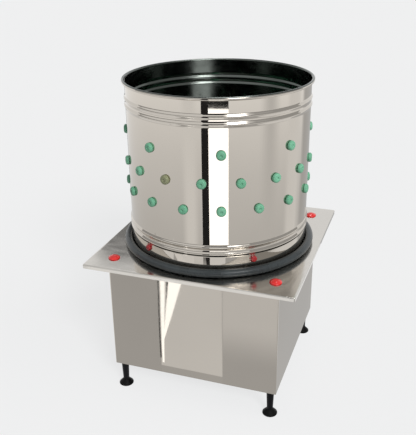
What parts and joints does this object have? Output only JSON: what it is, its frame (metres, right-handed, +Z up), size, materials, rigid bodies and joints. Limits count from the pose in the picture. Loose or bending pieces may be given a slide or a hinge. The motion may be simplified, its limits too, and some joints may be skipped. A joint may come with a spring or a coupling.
{
  "type": "poultry plucker",
  "caption": "Drum poultry plucker: a stainless tub lined with ribbed rubber fingers over a belt-driven finger disc, on a square cabinet with levelling feet.",
  "frame": {"origin": "on the floor, under the drum's axis", "axes": "+Z up along the drum's axis, -Y towards the front, +X to the right seen from the front"},
  "size_m": [0.644, 0.644, 0.98],
  "materials": {
    "stainless": "polished sheet",
    "fasteners": "zinc plated",
    "finger_rubber": "satin",
    "black_rubber": "satin",
    "red_plastic": "glossy",
    "green_plastic": "glossy",
    "black_plastic": "matt",
    "black_metal": "satin black",
    "frame_steel": "grey paint",
    "machined_steel": "turned",
    "bearing_steel": "ground",
    "cast_iron": "painted casting",
    "motor_aluminium": "painted casting",
    "motor_paint": "satin paint"
  },
  "bodies": {
    "machine": {"top_plate": "stainless", "plate_bolts": "fasteners", "plate_bolt_caps": "red_plastic", "drum": "stainless", "drum_lugs": "stainless", "drum_bolts": "fasteners", "drum_bolt_caps": "red_plastic", "seal_ring": "black_rubber", "top_row_fingers": "finger_rubber", "middle_row_fingers": "finger_rubber", "bottom_row_fingers": "finger_rubber", "bearing_housing": "cast_iron", "housing_bolts": "fasteners", "bearing_outer_rings": "bearing_steel", "bearing_balls": "bearing_steel", "spindle_seal": "black_rubber", "feather_hopper": "stainless", "outlet_frame": "stainless", "panel_screws": "fasteners", "corner_posts": "frame_steel", "top_rails": "frame_steel", "bottom_rails": "frame_steel", "drive_rails": "frame_steel", "drive_plate": "frame_steel", "drive_plate_bolts": "fasteners", "v_belt": "black_rubber", "motor_housing": "motor_aluminium", "motor_flange": "motor_aluminium", "motor_rear_shield": "motor_aluminium", "motor_fan_cover": "motor_paint", "terminal_box": "motor_paint", "motor_bolts": "fasteners", "cabinet_wrap": "stainless", "rear_panel": "stainless", "foot_stems": "black_metal", "foot_nuts": "fasteners", "switch_box": "black_plastic", "cable_gland": "black_plastic"},
    "finger_disc": {"plucking_disc": "stainless", "disc_inner_fingers": "finger_rubber", "disc_middle_fingers": "finger_rubber", "disc_outer_fingers": "finger_rubber", "disc_hub": "cast_iron", "hub_bolts": "fasteners", "disc_nut": "fasteners", "spindle": "machined_steel", "spindle_keys": "machined_steel", "bearing_inner_rings": "bearing_steel", "spindle_pulley": "cast_iron", "pulley_end_bolt": "fasteners"},
    "motor_drive": {"motor_rotor": "machined_steel", "motor_pulley": "cast_iron", "motor_fan": "black_plastic"},
    "foot_front_left": {"foot_front_left": "black_rubber"},
    "foot_front_right": {"foot_front_right": "black_rubber"},
    "foot_rear_left": {"foot_rear_left": "black_rubber"},
    "foot_rear_right": {"foot_rear_right": "black_rubber"},
    "start_button": {"start_button": "green_plastic"},
    "stop_button": {"stop_button": "red_plastic"}
  },
  "joints": [
    {"name": "disc_spin", "type": "hinge", "parent": "machine", "child": "finger_disc", "pos_m": [0, 0, 0.32], "axis": [0, 0, 1], "continuous": true},
    {"name": "motor_spin", "type": "hinge", "parent": "machine", "child": "motor_drive", "pos_m": [-0.15, -0.15, 0.258], "axis": [0, 0, 1], "continuous": true},
    {"name": "foot_front_left_screw", "type": "slide", "parent": "machine", "child": "foot_front_left", "axis": [0, 0, 1], "range_m": [-0.02, 0]},
    {"name": "foot_front_right_screw", "type": "slide", "parent": "machine", "child": "foot_front_right", "axis": [0, 0, 1], "range_m": [-0.02, 0]},
    {"name": "foot_rear_left_screw", "type": "slide", "parent": "machine", "child": "foot_rear_left", "axis": [0, 0, 1], "range_m": [-0.02, 0]},
    {"name": "foot_rear_right_screw", "type": "slide", "parent": "machine", "child": "foot_rear_right", "axis": [0, 0, 1], "range_m": [-0.02, 0]},
    {"name": "start_button_press", "type": "slide", "parent": "machine", "child": "start_button", "axis": [1, 0, 0], "range_m": [0, 0.004], "stiffness_N_per_m": 800, "springref_m": -0.002},
    {"name": "stop_button_press", "type": "slide", "parent": "machine", "child": "stop_button", "axis": [1, 0, 0], "range_m": [0, 0.004], "stiffness_N_per_m": 800, "springref_m": -0.002}
  ],
  "couplings": [
    {"joint": "motor_spin", "follows": "disc_spin", "ratio": 4.8711}
  ]
}
